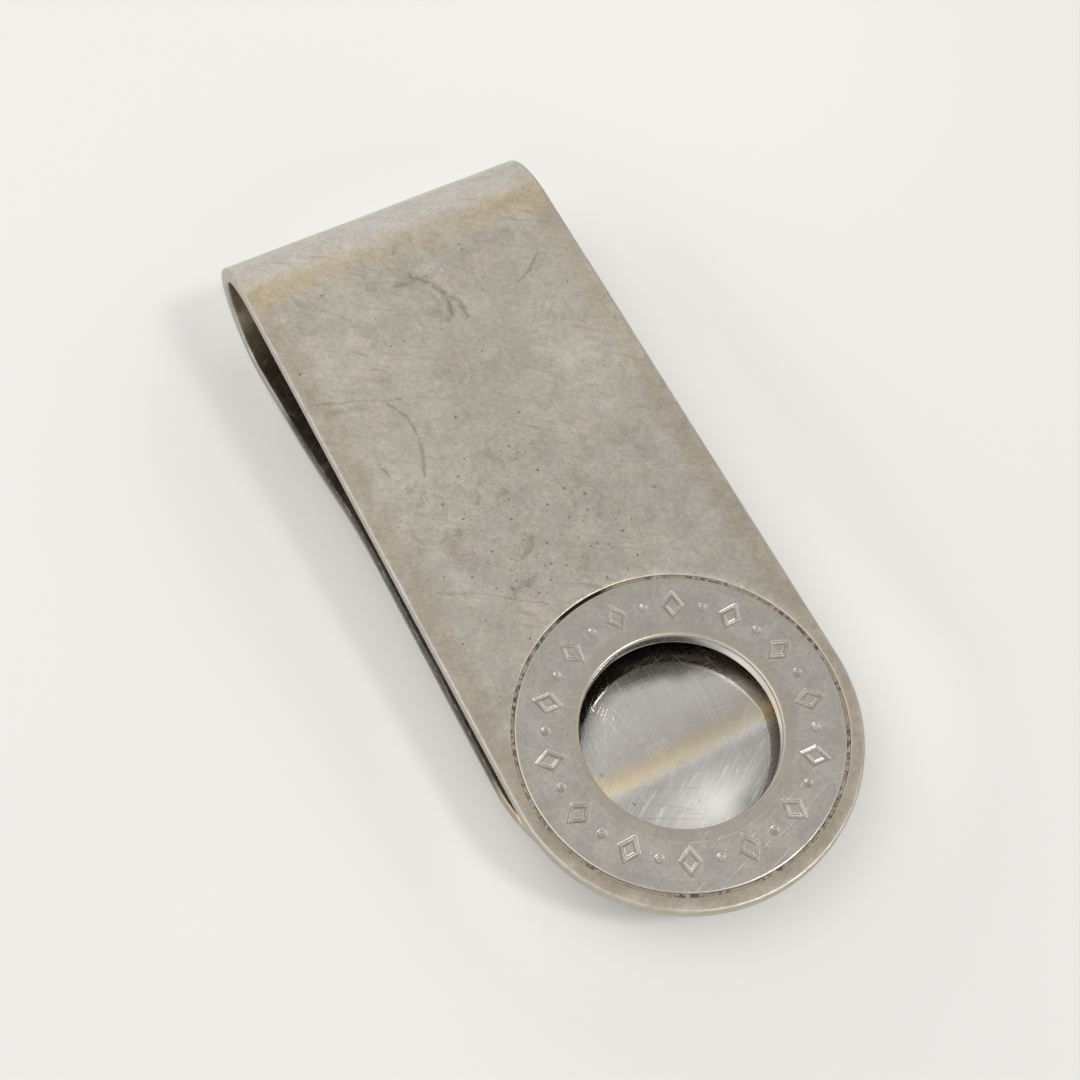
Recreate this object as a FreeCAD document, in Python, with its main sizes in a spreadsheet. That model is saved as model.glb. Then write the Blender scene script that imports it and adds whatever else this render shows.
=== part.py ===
# Folded silver money clip with a round window in its rounded end.
#
# One strip of sheet silver is folded over on itself.  The front leaf is flat
# and ends in a half-round tip; a separate ring is let into that tip and
# soldered round its edge, and its open middle is the window.  The fold is the
# spring: an open loop that is wider than the note gap.  The back leaf rises
# from the loop towards the front leaf, runs level under it, and turns away
# from it again at its tip, so that notes slide in.
#
# Leaf frame used while modelling (millimetres): the origin is the centre of
# the ring on the front leaf's top face, +X across the strip, +Y towards the
# fold, +Z out of the front face.  Every sub-part then gets the same
# placement, which leans the clip so that it lies on the bottom of its loop
# and on the tip of its back leaf, with the origin at the bottom centre of its
# bounding box.

import FreeCAD, Part
import math
import os
import Sketcher
from FreeCAD import Vector, Rotation, Placement

doc = FreeCAD.newDocument("money_clip")

# ---------------------------------------------------------------- dimensions
dims = doc.addObject("Spreadsheet::Sheet", "dims")
ROWS = [
    # alias, value, note
    ("strip_width", 22.0, "width of the strip, mm"),
    ("sheet_gauge", 1.0, "thickness of the sheet"),
    ("edge_round", 0.18, "rounding worn and polished on to every edge"),
    ("tip_centre", -0.12, "centre of the half-round tip, along Y"),
    ("front_end", 36.0, "Y where the front leaf meets the fold"),
    ("bend_start", 38.25, "Y where the sheet starts to turn"),
    ("bend_soft_radius", 6.5, "middle-line radius of the first part of the bend"),
    ("bend_soft_angle", 30.0, "degrees turned in the first part"),
    ("bend_tight_radius", 4.25, "middle-line radius of the rest of the loop"),
    ("bend_tight_angle", 164.0, "degrees turned in the rest of the loop"),
    ("fold_tail", 2.0, "straight length that ends the fold piece"),
    ("rise_length", 0.8, "straight start of the back leaf"),
    ("rise_radius", 60.0, "slight crown of the rising part"),
    ("rise_angle", 10.5, "degrees turned by the crown"),
    ("level_radius", 15.0, "radius of the turn back to level"),
    ("level_angle", 25.0, "degrees turned back to level"),
    ("level_length", 18.8, "length of the level part"),
    ("crease_radius", 5.0, "radius of the crease before the tip"),
    ("crease_angle", 8.0, "degrees by which the tip turns away"),
    ("flare_length", 7.9, "length past the crease, before the tip is rounded"),
    ("back_tip_centre", 2.8, "centre of the back leaf's half-round tip, along Y"),
    ("seat_radius", 10.20, "radius of the round seat cut in the front leaf"),
    ("ring_radius", 10.00, "outer radius of the ring"),
    ("window_radius", 6.12, "radius of the window"),
    ("ring_gauge", 1.20, "thickness of the ring"),
    ("window_bevel", 0.16, "bevel at the window's top edge"),
    ("rim_bevel", 0.09, "bevel at the ring's outer top edge"),
    ("seam_depth", 0.10, "how far the solder lies below the top face"),
    ("seam_height", 0.75, "height of the solder fillet"),
    ("mark_depth", 0.10, "depth of the engraved border"),
    ("mark_radius", 8.12, "radius of the middle of the engraved border"),
    ("mark_half_height", 0.96, "half the radial height of a lozenge"),
    ("mark_half_width", 0.70, "half the width of a lozenge"),
    ("mark_inner", 0.60, "size of the uncut lozenge inside, as a share of the outline"),
    ("dot_radius", 0.26, "radius of the dots between the lozenges"),
    ("lean", 5.32, "degrees that the resting clip leans about X"),
    ("shift_along", -16.68380, "placement along Y"),
    ("shift_up", 6.1289, "placement along Z"),
]
dims.set("A1", "alias")
dims.set("B1", "value")
dims.set("C1", "meaning")
for i, (alias, value, note) in enumerate(ROWS):
    row = i + 2
    dims.set("A%d" % row, alias)
    dims.set("B%d" % row, str(value))
    dims.set("C%d" % row, note)
    dims.setAlias("B%d" % row, alias)
doc.recompute()


def cell(alias):
    return float(dims.get(alias))


def ref(text):
    """Turns $name into a reference to that cell of the sheet."""
    out, word, on = "", "", False
    for ch in text + " ":
        if on:
            if ch.isalnum() or ch == "_":
                word += ch
                continue
            out += "<<dims>>." + word
            on, word = False, ""
        if ch == "$":
            on = True
            continue
        out += ch
    return out.strip()


def plane(body, role):
    for feature in body.Origin.OriginFeatures:
        if feature.Role == role:
            return feature
    raise RuntimeError("no origin plane " + role)


def new_body(label):
    body = doc.addObject("PartDesign::Body", label)
    body.Label = label
    return body


def new_sketch(body, name, role, offset=None):
    sk = body.newObject("Sketcher::SketchObject", name)
    sk.AttachmentSupport = [(plane(body, role), "")]
    sk.MapMode = "FlatFace"
    if offset is not None:
        sk.AttachmentOffset = offset
    return sk


def bound(sk, constraint, expression):
    """Adds a dimension to a sketch and binds it to the sheet."""
    index = sk.addConstraint(constraint)
    sk.setExpression("Constraints[%d]" % index, ref(expression))
    return index


def line(sk, a, b):
    return sk.addGeometry(Part.LineSegment(Vector(a[0], a[1], 0), Vector(b[0], b[1], 0)), False)


def arc(sk, centre, radius, start, end):
    circle = Part.Circle(Vector(centre[0], centre[1], 0), Vector(0, 0, 1), radius)
    return sk.addGeometry(Part.ArcOfCircle(circle, start, end), False)


C = Sketcher.Constraint

# --------------------------------------------------------------- front leaf
# A flat strip with a half-round tip and the round seat for the ring.
W2 = cell("strip_width") / 2.0
front = new_body("front_leaf")
sk = new_sketch(front, "front_outline", "XY_Plane")
tc, fe = cell("tip_centre"), cell("front_end")
g_tip = arc(sk, (0, tc), W2, math.pi, 2 * math.pi)
g_right = line(sk, (W2, tc), (W2, fe))
g_top = line(sk, (W2, fe), (-W2, fe))
g_left = line(sk, (-W2, fe), (-W2, tc))
sk.addConstraint(C("Tangent", g_tip, 2, g_right, 1))
sk.addConstraint(C("Coincident", g_right, 2, g_top, 1))
sk.addConstraint(C("Coincident", g_top, 2, g_left, 1))
sk.addConstraint(C("Tangent", g_left, 2, g_tip, 1))
sk.addConstraint(C("Vertical", g_right))
sk.addConstraint(C("Vertical", g_left))
sk.addConstraint(C("Horizontal", g_top))
sk.addConstraint(C("PointOnObject", g_tip, 3, -2))
bound(sk, C("Radius", g_tip, W2), "$strip_width / 2")
bound(sk, C("DistanceY", g_tip, 3, -1, 1, -tc), "-$tip_centre")
bound(sk, C("DistanceY", -1, 1, g_top, 1, fe), "$front_end")
doc.recompute()
pad = front.newObject("PartDesign::Pad", "front_sheet")
pad.Profile = sk
pad.Reversed = True
pad.setExpression("Length", ref("$sheet_gauge"))
doc.recompute()
before = pad.Shape.Volume

sk = new_sketch(front, "seat_circle", "XY_Plane")
g = sk.addGeometry(Part.Circle(Vector(0, 0, 0), Vector(0, 0, 1), cell("seat_radius")), False)
sk.addConstraint(C("Coincident", g, 3, -1, 1))
bound(sk, C("Radius", g, cell("seat_radius")), "$seat_radius")
doc.recompute()
seat = front.newObject("PartDesign::Pocket", "ring_seat")
seat.Profile = sk
seat.Type = "ThroughAll"
seat.Midplane = True
doc.recompute()
cut = before - seat.Shape.Volume
want = math.pi * cell("seat_radius") ** 2 * cell("sheet_gauge")
if abs(cut - want) > 0.01 * want:
    raise RuntimeError("the ring's seat did not cut: %.3f of %.3f" % (cut, want))

# Rounded edges: the long sides and the tip, above and below.
gauge = cell("sheet_gauge")
names = []
for i, e in enumerate(seat.Shape.Edges):
    mid = e.valueAt((e.FirstParameter + e.LastParameter) / 2)
    flat = abs(e.BoundBox.ZMin - e.BoundBox.ZMax) < 1e-6
    side = flat and abs(abs(mid.x) - W2) < 1e-3 and e.Length > 10
    tip = flat and mid.y < tc - 5 and abs(math.hypot(mid.x, mid.y - tc) - W2) < 1e-3
    if side or tip:
        names.append("Edge%d" % (i + 1))
if len(names) != 6:
    raise RuntimeError("front leaf: found %d outer edges" % len(names))
rounding = front.newObject("PartDesign::Fillet", "front_edge_round")
rounding.Base = (seat, names)
rounding.setExpression("Radius", ref("$edge_round"))
doc.recompute()
front.Tip = rounding


# --------------------------------------------------------- swept leaf pieces
def section(body, name):
    """Cross-section of the strip: a rectangle with rounded corners, drawn
    across the strip and centred on the sketch's own origin."""
    sk = body.newObject("Sketcher::SketchObject", name)
    half_w, half_t, r = W2, gauge / 2.0, cell("edge_round")
    a = line(sk, (-half_w + r, -half_t), (half_w - r, -half_t))
    b = arc(sk, (half_w - r, -half_t + r), r, -math.pi / 2, 0)
    c = line(sk, (half_w, -half_t + r), (half_w, half_t - r))
    d = arc(sk, (half_w - r, half_t - r), r, 0, math.pi / 2)
    e = line(sk, (half_w - r, half_t), (-half_w + r, half_t))
    f = arc(sk, (-half_w + r, half_t - r), r, math.pi / 2, math.pi)
    h = line(sk, (-half_w, half_t - r), (-half_w, -half_t + r))
    k = arc(sk, (-half_w + r, -half_t + r), r, math.pi, 1.5 * math.pi)
    for one, p, two, q in ((a, 2, b, 1), (b, 2, c, 1), (c, 2, d, 1), (d, 2, e, 1),
                           (e, 2, f, 1), (f, 2, h, 1), (h, 2, k, 1), (k, 2, a, 1)):
        sk.addConstraint(C("Tangent", one, p, two, q))
    sk.addConstraint(C("Horizontal", a))
    sk.addConstraint(C("Vertical", c))
    for other in (d, f, k):
        sk.addConstraint(C("Equal", b, other))
    bound(sk, C("Radius", b, r), "$edge_round")
    sk.addConstraint(C("Symmetric", h, 1, c, 1, -1, 1))
    bound(sk, C("DistanceX", h, 1, c, 2, 2 * half_w), "$strip_width")
    bound(sk, C("DistanceY", a, 1, e, 2, 2 * half_t), "$sheet_gauge")
    return sk


def walk(start, steps):
    """Corner points of the strip's middle line in the YZ plane.  start is
    (y, z, heading); each step is a straight or an arc; a positive turn bends
    the heading downwards."""
    y, z, heading = start
    out = []
    for step in steps:
        if step[0] == "straight":
            y2 = y + step[1] * math.cos(heading)
            z2 = z - step[1] * math.sin(heading)
            out.append(("straight", (y, z), (y2, z2), heading))
            y, z = y2, z2
        else:
            radius, turn = step[1], math.radians(step[2])
            s = 1.0 if turn > 0 else -1.0
            cy = y - s * radius * math.sin(heading)
            cz = z - s * radius * math.cos(heading)
            h2 = heading + turn
            y2 = cy + s * radius * math.sin(h2)
            z2 = cz + s * radius * math.cos(h2)
            out.append(("arc", (y, z), (y2, z2), heading, h2, (cy, cz), radius, s))
            y, z, heading = y2, z2, h2
    return out, (y, z, heading)


def spine(body, name, runs, expressions):
    """Sketch of the middle line on the YZ plane, every run tangent to the
    next.  expressions gives each run's bound sizes."""
    sk = new_sketch(body, name, "YZ_Plane")
    last = None
    for run, expr in zip(runs, expressions):
        if run[0] == "straight":
            g = line(sk, run[1], run[2])
            first, end = 1, 2
        else:
            _, a, b, h1, h2, centre, radius, s = run
            ang_a = math.atan2(a[1] - centre[1], a[0] - centre[0])
            ang_b = math.atan2(b[1] - centre[1], b[0] - centre[0])
            if s > 0:      # clockwise in the sketch: the arc runs from b to a
                lo, hi = ang_b, ang_a
                first, end = 2, 1
            else:
                lo, hi = ang_a, ang_b
                first, end = 1, 2
            while hi < lo:
                hi += 2 * math.pi
            g = arc(sk, centre, radius, lo, hi)
        if last is not None:
            sk.addConstraint(C("Tangent", last[0], last[1], g, first))
        if run[0] == "straight":
            length = math.dist(run[1], run[2])
            bound(sk, C("Distance", g, length), expr[0])
        else:
            bound(sk, C("Radius", g, run[6]), expr[0])
            bound(sk, C("Angle", g, abs(run[4] - run[3])), expr[1])
        last = (g, end)
    return sk


def pipe(body, name, profile, path):
    feature = body.newObject("PartDesign::AdditivePipe", name)
    feature.Profile = profile
    feature.Spine = (path, [])
    feature.Mode = "Standard"
    return feature


# --------------------------------------------------------------- fold spring
mid0 = -gauge / 2.0
fold_runs, fold_end = walk(
    (cell("front_end"), mid0, 0.0),
    [("straight", cell("bend_start") - cell("front_end")),
     ("arc", cell("bend_soft_radius"), cell("bend_soft_angle")),
     ("arc", cell("bend_tight_radius"), cell("bend_tight_angle")),
     ("straight", cell("fold_tail"))])
fold = new_body("fold_spring")
path = spine(fold, "fold_path", fold_runs,
             [("$bend_start - $front_end",),
              ("$bend_soft_radius", "$bend_soft_angle * 1deg"),
              ("$bend_tight_radius", "$bend_tight_angle * 1deg"),
              ("$fold_tail",)])
path.addConstraint(C("Horizontal", 0))
bound(path, C("DistanceX", -1, 1, 0, 1, cell("front_end")), "$front_end")
bound(path, C("DistanceY", 0, 1, -1, 1, gauge / 2.0), "$sheet_gauge / 2")
doc.recompute()
sec = section(fold, "fold_section")
sec.AttachmentSupport = [(plane(fold, "XZ_Plane"), "")]
sec.MapMode = "FlatFace"
sec.AttachmentOffset = Placement(Vector(0, mid0, -cell("front_end")), Rotation())
sec.setExpression("AttachmentOffset.Base.y", ref("-$sheet_gauge / 2"))
sec.setExpression("AttachmentOffset.Base.z", ref("-$front_end"))
doc.recompute()
loop = pipe(fold, "fold_loop", sec, path)
doc.recompute()
fold.Tip = loop

# ----------------------------------------------------------------- back leaf
back_runs, back_end = walk(
    fold_end,
    [("straight", cell("rise_length")),
     ("arc", cell("rise_radius"), cell("rise_angle")),
     ("arc", cell("level_radius"), -cell("level_angle")),
     ("straight", cell("level_length")),
     ("arc", cell("crease_radius"), -cell("crease_angle")),
     ("straight", cell("flare_length"))])
back = new_body("back_leaf")
path = spine(back, "back_path", back_runs,
             [("$rise_length",),
              ("$rise_radius", "$rise_angle * 1deg"),
              ("$level_radius", "$level_angle * 1deg"),
              ("$level_length",),
              ("$crease_radius", "$crease_angle * 1deg"),
              ("$flare_length",)])
# The start of the back leaf is where the fold ends.  The loop's end point
# and heading follow from the fold's own sizes, so they are written out here.
heading = "($bend_soft_angle + $bend_tight_angle) * 1deg"
y_of = ("($bend_start + ($bend_soft_radius - $bend_tight_radius) * sin($bend_soft_angle * 1deg)"
        " + $bend_tight_radius * sin(" + heading + ") + $fold_tail * cos(" + heading + "))")
z_of = ("(-$sheet_gauge / 2 - $bend_soft_radius"
        " + ($bend_soft_radius - $bend_tight_radius) * cos($bend_soft_angle * 1deg)"
        " + $bend_tight_radius * cos(" + heading + ") - $fold_tail * sin(" + heading + "))")
sy, sz, sh = fold_end
bound(path, C("DistanceX", -1, 1, 0, 1, sy), y_of)
bound(path, C("DistanceY", 0, 1, -1, 1, -sz), "-" + z_of)
i = path.addConstraint(C("Angle", -1, 0, math.pi * 2 - sh))
path.setExpression("Constraints[%d]" % i, ref("360deg - " + heading))
doc.recompute()
sec = section(back, "back_section")
sec.AttachmentSupport = [(plane(back, "XZ_Plane"), "")]
sec.MapMode = "FlatFace"
# The section stands square to the path's first run.
sec.AttachmentOffset = Placement(Vector(0, sz, -sy), Rotation(Vector(1, 0, 0), 180.0 - math.degrees(sh)))
sec.setExpression("AttachmentOffset.Base.y", ref(z_of))
sec.setExpression("AttachmentOffset.Base.z", ref("-" + y_of))
sec.setExpression("AttachmentOffset.Rotation.Angle", ref("180deg - " + heading))
doc.recompute()
run = pipe(back, "back_sheet", sec, path)
doc.recompute()
before = run.Shape.Volume
sheet_area = cell("strip_width") * gauge - (4 - math.pi) * cell("edge_round") ** 2
for label, made, runs in (("fold_spring", loop, fold_runs), ("back_leaf", run, back_runs)):
    reach = sum(math.dist(r[1], r[2]) if r[0] == "straight" else r[6] * abs(r[4] - r[3]) for r in runs)
    if abs(made.Shape.Volume - reach * sheet_area) > 0.005 * reach * sheet_area:
        raise RuntimeError("%s: volume %.2f, not %.2f" % (label, made.Shape.Volume, reach * sheet_area))
sk = new_sketch(back, "back_tip_trim", "XY_Plane")
bc = cell("back_tip_centre")
far = -20.0
half = 15.0
g1 = arc(sk, (0, bc), W2, math.pi, 2 * math.pi)
g2 = line(sk, (W2, bc), (half, bc))
g3 = line(sk, (half, bc), (half, far))
g4 = line(sk, (half, far), (-half, far))
g5 = line(sk, (-half, far), (-half, bc))
g6 = line(sk, (-half, bc), (-W2, bc))
sk.addConstraint(C("Coincident", g1, 2, g2, 1))
sk.addConstraint(C("Coincident", g2, 2, g3, 1))
sk.addConstraint(C("Coincident", g3, 2, g4, 1))
sk.addConstraint(C("Coincident", g4, 2, g5, 1))
sk.addConstraint(C("Coincident", g5, 2, g6, 1))
sk.addConstraint(C("Coincident", g6, 2, g1, 1))
for g in (g2, g6):
    sk.addConstraint(C("Horizontal", g))
for g in (g3, g5):
    sk.addConstraint(C("Vertical", g))
sk.addConstraint(C("PointOnObject", g1, 3, -2))
sk.addConstraint(C("Symmetric", g3, 2, g4, 2, -2))
bound(sk, C("Radius", g1, W2), "$strip_width / 2")
bound(sk, C("DistanceY", -1, 1, g1, 3, bc), "$back_tip_centre")
sk.addConstraint(C("PointOnObject", g1, 3, g2))
bound(sk, C("DistanceY", g3, 2, g3, 1, bc - far), "$back_tip_centre + 20")
bound(sk, C("DistanceX", g4, 2, g4, 1, 2 * half), "$strip_width + 8")
doc.recompute()
trim = back.newObject("PartDesign::Pocket", "back_round_tip")
trim.Profile = sk
trim.Type = "ThroughAll"
trim.Midplane = True
doc.recompute()
if not before - trim.Shape.Volume > 20.0:
    raise RuntimeError("the back leaf's tip was not rounded")
back.Tip = trim

# --------------------------------------------------------------- window ring
ring = new_body("window_ring")
sk = new_sketch(ring, "ring_section", "XZ_Plane")
ri, ro = cell("window_radius"), cell("ring_radius")
rg, wb, rb = cell("ring_gauge"), cell("window_bevel"), cell("rim_bevel")
pts = [(ri, -rg), (ro, -rg), (ro, -rb), (ro - rb, 0), (ri + wb, 0), (ri, -wb)]
gs = [line(sk, pts[i], pts[(i + 1) % 6]) for i in range(6)]
for i in range(6):
    sk.addConstraint(C("Coincident", gs[i], 2, gs[(i + 1) % 6], 1))
sk.addConstraint(C("Horizontal", gs[0]))
sk.addConstraint(C("Vertical", gs[1]))
sk.addConstraint(C("Vertical", gs[5]))
sk.addConstraint(C("PointOnObject", gs[3], 1, -1))
sk.addConstraint(C("PointOnObject", gs[3], 2, -1))
bound(sk, C("DistanceX", -1, 1, gs[0], 1, ri), "$window_radius")
bound(sk, C("DistanceX", -1, 1, gs[0], 2, ro), "$ring_radius")
bound(sk, C("DistanceY", gs[0], 1, -1, 1, rg), "$ring_gauge")
bound(sk, C("DistanceX", gs[3], 1, gs[2], 1, rb), "$rim_bevel")
bound(sk, C("DistanceY", gs[2], 1, gs[3], 1, rb), "$rim_bevel")
bound(sk, C("DistanceX", gs[5], 1, gs[4], 1, wb), "$window_bevel")
bound(sk, C("DistanceY", gs[5], 1, gs[4], 1, wb), "$window_bevel")
doc.recompute()
turned = ring.newObject("PartDesign::Revolution", "ring_turned")
turned.Profile = sk
turned.ReferenceAxis = (sk, ["V_Axis"])
turned.Angle = 360.0
doc.recompute()
before = turned.Shape.Volume

# Engraved border: open lozenges with a dot between each two, all the same.
sk = new_sketch(ring, "lozenge_sketch", "XY_Plane")
mr, mh, mw = cell("mark_radius"), cell("mark_half_height"), cell("mark_half_width")
pts = [(0, mr - mh), (mw, mr), (0, mr + mh), (-mw, mr)]
gs = [line(sk, pts[i], pts[(i + 1) % 4]) for i in range(4)]
for i in range(4):
    sk.addConstraint(C("Coincident", gs[i], 2, gs[(i + 1) % 4], 1))
sk.addConstraint(C("PointOnObject", gs[0], 1, -2))
sk.addConstraint(C("PointOnObject", gs[1], 2, -2))
sk.addConstraint(C("Symmetric", gs[0], 2, gs[2], 2, -2))
bound(sk, C("DistanceY", -1, 1, gs[0], 1, mr - mh), "$mark_radius - $mark_half_height")
bound(sk, C("DistanceY", gs[0], 1, gs[1], 2, 2 * mh), "2 * $mark_half_height")
bound(sk, C("DistanceX", gs[2], 2, gs[0], 2, 2 * mw), "2 * $mark_half_width")
bound(sk, C("DistanceY", -1, 1, gs[0], 2, mr), "$mark_radius")
share = cell("mark_inner")
ih, iw = mh * share, mw * share
pts = [(0, mr - ih), (iw, mr), (0, mr + ih), (-iw, mr)]
gi = [line(sk, pts[i], pts[(i + 1) % 4]) for i in range(4)]
for i in range(4):
    sk.addConstraint(C("Coincident", gi[i], 2, gi[(i + 1) % 4], 1))
sk.addConstraint(C("PointOnObject", gi[0], 1, -2))
sk.addConstraint(C("PointOnObject", gi[1], 2, -2))
sk.addConstraint(C("Symmetric", gi[0], 2, gi[2], 2, -2))
bound(sk, C("DistanceY", -1, 1, gi[0], 1, mr - ih), "$mark_radius - $mark_half_height * $mark_inner")
bound(sk, C("DistanceY", gi[0], 1, gi[1], 2, 2 * ih), "2 * $mark_half_height * $mark_inner")
bound(sk, C("DistanceX", gi[2], 2, gi[0], 2, 2 * iw), "2 * $mark_half_width * $mark_inner")
bound(sk, C("DistanceY", -1, 1, gi[0], 2, mr), "$mark_radius")
doc.recompute()
lozenge = ring.newObject("PartDesign::Pocket", "lozenge")
lozenge.Profile = sk
lozenge.Type = "Length"
lozenge.setExpression("Length", ref("$mark_depth"))
doc.recompute()
one = before - lozenge.Shape.Volume
want = 2 * mh * mw * (1 - share ** 2) * cell("mark_depth")
if abs(one - want) > 0.02 * want:
    raise RuntimeError("lozenge: cut %.4f, not %.4f" % (one, want))
pattern = ring.newObject("PartDesign::PolarPattern", "lozenges")
pattern.Originals = [lozenge]
pattern.Axis = (sk, ["N_Axis"])
pattern.Angle = 360.0
pattern.Occurrences = 14
doc.recompute()
ring.Tip = pattern
doc.recompute()
after_lozenges = pattern.Shape.Volume

sk = new_sketch(ring, "dot_sketch", "XY_Plane")
turn = math.pi / 2 + math.pi / 14
dx, dy = mr * math.cos(turn), mr * math.sin(turn)
g = sk.addGeometry(Part.Circle(Vector(dx, dy, 0), Vector(0, 0, 1), cell("dot_radius")), False)
bound(sk, C("Radius", g, cell("dot_radius")), "$dot_radius")
bound(sk, C("DistanceX", g, 3, -1, 1, -dx), "$mark_radius * sin(180deg / 14)")
bound(sk, C("DistanceY", -1, 1, g, 3, dy), "$mark_radius * cos(180deg / 14)")
doc.recompute()
dot = ring.newObject("PartDesign::Pocket", "dot")
dot.Profile = sk
dot.Type = "Length"
dot.setExpression("Length", ref("$mark_depth"))
doc.recompute()
dots = ring.newObject("PartDesign::PolarPattern", "dots")
dots.Originals = [dot]
dots.Axis = (sk, ["N_Axis"])
dots.Angle = 360.0
dots.Occurrences = 14
doc.recompute()
ring.Tip = dots
doc.recompute()
if not after_lozenges - dots.Shape.Volume > 0.1:
    raise RuntimeError("the dots were not cut")

# --------------------------------------------------------------- solder seam
# Solder that fills the groove between the ring and its seat nearly to the top.
seam = doc.addObject("Part::Cut", "solder_seam")
outer = doc.addObject("Part::Cylinder", "seam_outer")
inner = doc.addObject("Part::Cylinder", "seam_inner")
outer.setExpression("Radius", ref("$seat_radius"))
inner.setExpression("Radius", ref("$ring_radius"))
outer.setExpression("Height", ref("$seam_height"))
inner.setExpression("Height", ref("$seam_height"))
for o in (outer, inner):
    o.setExpression("Placement.Base.z", ref("-$seam_depth - $seam_height"))
seam.Base = outer
seam.Tool = inner
seam.Label = "solder_seam"
doc.recompute()

# ----------------------------------------------------------------- placement
PARTS = [front, fold, back, ring, seam]
for part in PARTS:
    part.Placement = Placement(Vector(0, cell("shift_along"), cell("shift_up")),
                               Rotation(Vector(1, 0, 0), cell("lean")))
    part.setExpression("Placement.Base.y", ref("$shift_along * 1mm"))
    part.setExpression("Placement.Base.z", ref("$shift_up * 1mm"))
    part.setExpression("Placement.Rotation.Angle", ref("$lean * 1deg"))
doc.recompute()

# -------------------------------------------------------------------- checks
bad = []
for obj in doc.Objects:
    state = [str(x) for x in obj.State]
    if "Invalid" in state or "Error" in state:
        bad.append("%s: %s" % (obj.Name, state))
for part in PARTS:
    shape = part.Shape
    if shape.isNull() or not shape.isValid() or len(shape.Solids) != 1:
        bad.append("%s: null %s valid %s solids %d" % (part.Label, shape.isNull(), shape.isValid(), len(shape.Solids)))
if bad:
    raise RuntimeError("; ".join(bad))

os.makedirs("parts", exist_ok=True)
total = 0.0
box = FreeCAD.BoundBox()
for part in PARTS:
    part.Shape.exportStep("parts/%s.step" % part.Label)
    total += part.Shape.Volume
    b = part.Shape.optimalBoundingBox(False)
    box.add(b)
    print("%-12s volume %8.3f mm3  box x %.3f..%.3f  y %.3f..%.3f  z %.3f..%.3f" % (
        part.Label, part.Shape.Volume, b.XMin, b.XMax, b.YMin, b.YMax, b.ZMin, b.ZMax))
print("whole: volume %.2f mm3, box %.3f x %.3f x %.3f, y %.4f..%.4f z %.4f..%.4f" % (
    total, box.XLength, box.YLength, box.ZLength, box.YMin, box.YMax, box.ZMin, box.ZMax))
print("fold ends at y %.3f z %.3f heading %.2f" % (fold_end[0], fold_end[1], math.degrees(fold_end[2])))
print("back leaf ends at y %.3f z %.3f heading %.2f" % (back_end[0], back_end[1], math.degrees(back_end[2])))
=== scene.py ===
import math

import bmesh
import bpy
import numpy as np
from mathutils import Matrix, Vector, geometry, noise


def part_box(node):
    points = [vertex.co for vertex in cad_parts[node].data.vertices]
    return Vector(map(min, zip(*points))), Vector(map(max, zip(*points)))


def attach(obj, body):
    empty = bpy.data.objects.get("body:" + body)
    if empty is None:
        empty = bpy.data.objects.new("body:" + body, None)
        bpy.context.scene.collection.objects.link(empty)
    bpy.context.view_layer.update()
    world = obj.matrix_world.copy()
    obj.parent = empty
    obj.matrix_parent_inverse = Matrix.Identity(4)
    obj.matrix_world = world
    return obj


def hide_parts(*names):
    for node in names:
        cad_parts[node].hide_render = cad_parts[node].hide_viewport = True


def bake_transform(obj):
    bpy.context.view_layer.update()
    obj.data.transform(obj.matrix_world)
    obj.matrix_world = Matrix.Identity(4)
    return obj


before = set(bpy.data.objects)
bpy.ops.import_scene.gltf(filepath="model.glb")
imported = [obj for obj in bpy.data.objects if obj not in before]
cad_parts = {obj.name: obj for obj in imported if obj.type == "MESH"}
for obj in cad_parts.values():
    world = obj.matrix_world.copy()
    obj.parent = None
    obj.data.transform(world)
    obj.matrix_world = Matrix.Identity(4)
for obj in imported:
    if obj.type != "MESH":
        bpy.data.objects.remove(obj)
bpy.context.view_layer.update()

MM = 0.001

# ------------------------------------------------------------------ geometry
# The strip's middle line, as in the CAD model, in the leaf frame: +Y towards
# the fold, +Z out of the front leaf, origin at the ring's centre on its face.
HALF_W = 11.0
HALF_T = 0.5
ROUND = 0.18
TIP_C = -0.12
FRONT_END = 36.0
BEND_START = 38.25
RUNS = [("s", 0.0), ("a", 6.5, 30.0), ("a", 4.25, 164.0), ("s", 2.0), ("s", 0.8),
        ("a", 60.0, 10.5), ("a", 15.0, -25.0), ("s", 18.8), ("a", 5.0, -8.0), ("s", 9.5)]
BACK_TIP_C = 2.8
SEAT_R = 10.2
LEAN = 5.32
LEAF = Matrix.Translation((0.0, -16.68380 * MM, 6.1289 * MM)) @ Matrix.Rotation(math.radians(LEAN), 4, "X")


def knots():
    y, z, h, s = BEND_START, -HALF_T, 0.0, BEND_START
    out = []
    for run in RUNS:
        if run[0] == "s":
            out.append((s, run[1], y, z, h, 0.0))
            y += run[1] * math.cos(h)
            z -= run[1] * math.sin(h)
            s += run[1]
        else:
            turn = math.radians(run[2])
            k = math.copysign(1.0 / run[1], turn)
            out.append((s, abs(turn) * run[1], y, z, h, k))
            y += (math.sin(h + turn) - math.sin(h)) / k
            z += (math.cos(h + turn) - math.cos(h)) / k
            h += turn
            s += abs(turn) * run[1]
    return out


KNOTS = knots()
FOLD_END = KNOTS[4][0]            # arc length where the fold ends and the back leaf starts
CREASE = KNOTS[8][0]              # start of the crease near the back leaf's tip


def on_line(s):
    """(y, z, heading) of the middle line at arc length s."""
    if s <= BEND_START:
        return s, -HALF_T, 0.0
    last = KNOTS[0]
    for k in KNOTS:
        if s >= k[0]:
            last = k
    s0, _, y, z, h, c = last
    u = s - s0
    if c == 0.0:
        return y + u * math.cos(h), z - u * math.sin(h), h
    h2 = h + c * u
    return y + (math.sin(h2) - math.sin(h)) / c, z + (math.cos(h2) - math.cos(h)) / c, h2


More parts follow.
